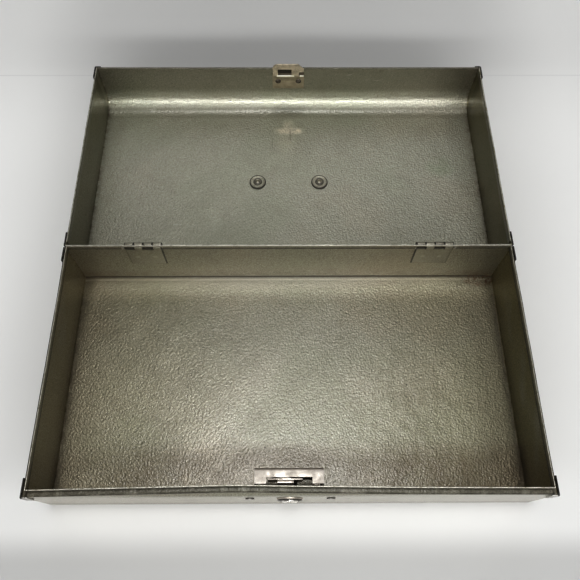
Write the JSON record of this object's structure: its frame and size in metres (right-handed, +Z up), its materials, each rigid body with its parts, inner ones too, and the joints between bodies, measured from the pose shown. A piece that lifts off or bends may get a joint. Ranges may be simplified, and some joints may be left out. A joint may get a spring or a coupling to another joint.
{
  "type": "steel tackle box",
  "caption": "Shallow sheet-steel tackle box with a rounded full-width lid that folds back flat, push-button key lock, pinned hinges and a wire bail handle.",
  "frame": {"origin": "on the ground under the middle of the hinge line, the lid folded back flat", "axes": "+X to the right across the front, +Y from the base towards the opened lid, +Z up"},
  "size_m": [0.4086, 0.4352, 0.0739],
  "materials": {
    "body_paint": "grey-green hammertone enamel, worn",
    "guard_black": "black japanned steel, satin",
    "nickel_plate": "tarnished nickel plate",
    "plain_steel": "plain steel, oiled"
  },
  "bodies": {
    "base": {"base_wrapper": "body_paint", "base_end_left": "body_paint", "base_end_right": "body_paint", "base_front_guard_left": "guard_black", "base_front_guard_right": "guard_black", "base_back_guard_left": "guard_black", "base_back_guard_right": "guard_black", "lock_case": "nickel_plate", "lock_rivets": "nickel_plate", "lock_barrel": "nickel_plate", "barrel_nut": "plain_steel", "catch_spring": "plain_steel", "hinge_base_leaf_left": "body_paint", "hinge_base_leaf_right": "body_paint", "hinge_pin_left": "plain_steel", "hinge_pin_right": "plain_steel"},
    "lid": {"lid_wrapper": "body_paint", "lid_end_left": "body_paint", "lid_end_right": "body_paint", "lid_front_guard_left": "guard_black", "lid_front_guard_right": "guard_black", "lid_back_guard_left": "guard_black", "lid_back_guard_right": "guard_black", "hinge_lid_leaf_left": "body_paint", "hinge_lid_leaf_right": "body_paint", "strike_plate": "nickel_plate", "strike_rivets": "nickel_plate", "handle_post_left": "body_paint", "handle_post_right": "body_paint", "handle_washer_left": "body_paint", "handle_washer_right": "body_paint"},
    "handle": {"handle_bail": "nickel_plate"},
    "push_button": {"lock_button": "nickel_plate"},
    "key_cylinder": {"key_plug": "nickel_plate"},
    "catch": {"catch_plate": "nickel_plate"},
    "bolt": {"deadbolt": "plain_steel"}
  },
  "joints": [
    {"name": "lid_hinge", "type": "hinge", "parent": "base", "child": "lid", "pos_m": [0, 0, 0.06265], "axis": [1, 0, 0], "range_deg": [0, 180]},
    {"name": "handle_swing", "type": "hinge", "parent": "lid", "child": "handle", "pos_m": [0, 0.1064, 0.0039], "axis": [-1, 0, 0], "range_deg": [0, 180]},
    {"name": "button_push", "type": "slide", "parent": "base", "child": "push_button", "axis": [0, 1, 0], "range_m": [0, 0.003]},
    {"name": "key_turn", "type": "hinge", "parent": "push_button", "child": "key_cylinder", "pos_m": [-0.0005, -0.2186, 0.0435], "axis": [0, 1, 0], "range_deg": [0, 90]},
    {"name": "catch_slide", "type": "slide", "parent": "base", "child": "catch", "axis": [0, 1, 0], "range_m": [0, 0.003], "deforming": ["catch_spring"]},
    {"name": "deadbolt_slide", "type": "slide", "parent": "base", "child": "bolt", "axis": [-1, 0, 0], "range_m": [0, 0.005]}
  ],
  "couplings": [
    {"joint": "catch_slide", "follows": "button_push", "ratio": 1},
    {"joint": "key_turn", "follows": "deadbolt_slide", "rad_per_m": 314.16}
  ]
}
